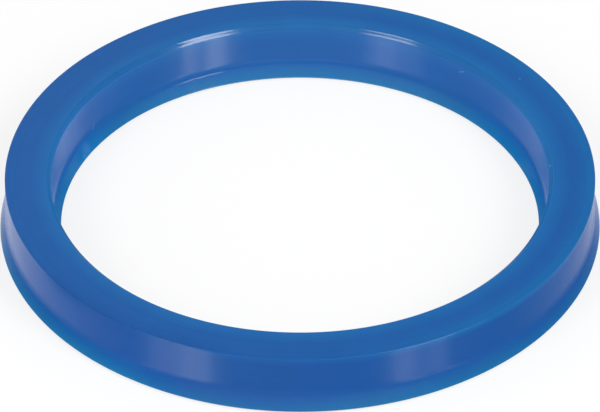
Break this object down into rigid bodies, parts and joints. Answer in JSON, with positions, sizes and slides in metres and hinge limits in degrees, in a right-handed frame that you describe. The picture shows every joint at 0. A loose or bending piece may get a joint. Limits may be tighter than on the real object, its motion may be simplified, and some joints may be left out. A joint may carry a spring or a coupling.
{
  "type": "u cup seal",
  "caption": "Hydraulic U cup seal: a one-piece elastomer ring with a square heel, an inner and an outer sealing lip that flare apart, and a pressure groove between them.",
  "frame": {"origin": "on the ring's axis, in the plane that the two lip ends stand on", "axes": "+Z along the ring's axis, out of the heel face; the pressure groove opens towards -Z; X and Y are radial"},
  "size_m": [0.0914, 0.0914, 0.0095],
  "materials": {
    "polyurethane": "smooth, semi-gloss, slightly translucent blue"
  },
  "bodies": {
    "root": {"seal_ring": "polyurethane"}
  },
  "joints": []
}
